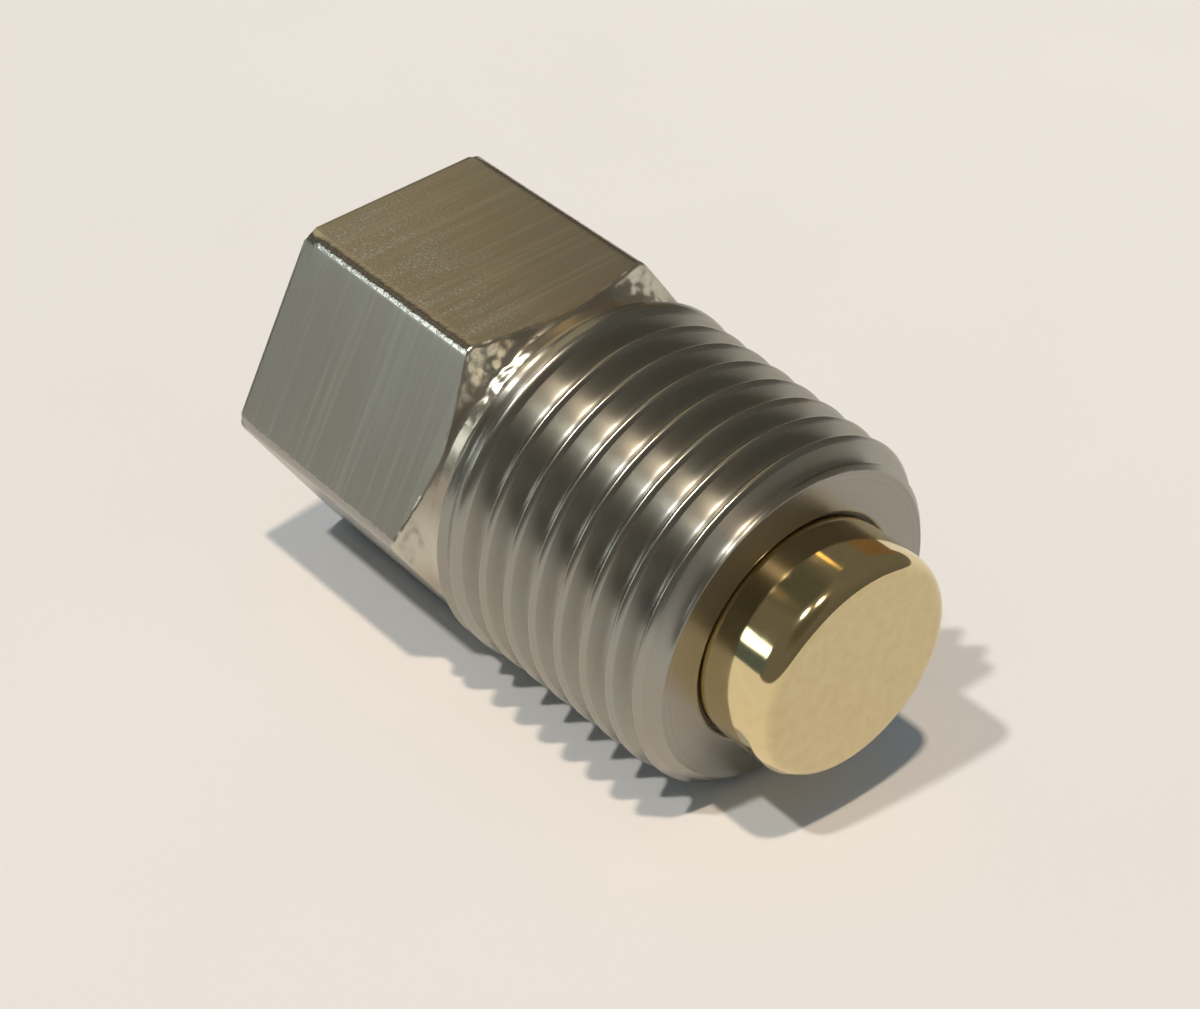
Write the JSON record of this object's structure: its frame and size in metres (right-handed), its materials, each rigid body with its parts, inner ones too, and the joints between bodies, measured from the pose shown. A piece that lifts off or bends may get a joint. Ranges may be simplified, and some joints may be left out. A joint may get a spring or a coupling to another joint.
{
  "type": "magnetic drain plug",
  "caption": "Hex-headed tapered pipe plug with a gold-plated magnet bonded into its tip, which closes a drain port and holds steel chips from the oil.",
  "frame": {"origin": "on the plug's axis, in the plane where the corners of the hexagon start to bevel towards the thread", "axes": "+X along the axis from the head to the magnet, +Z square to the upper flat of the hexagon"},
  "size_m": [0.0183, 0.0114, 0.0106],
  "materials": {
    "stainless_steel": "milled flats and a single-point turned thread",
    "gold_plating": "polished pale gold plating over a rare-earth magnet",
    "dark_adhesive": "cured dark adhesive"
  },
  "bodies": {
    "root": {"plug_body": "stainless_steel", "magnet": "gold_plating", "bond_line": "dark_adhesive"}
  },
  "joints": []
}
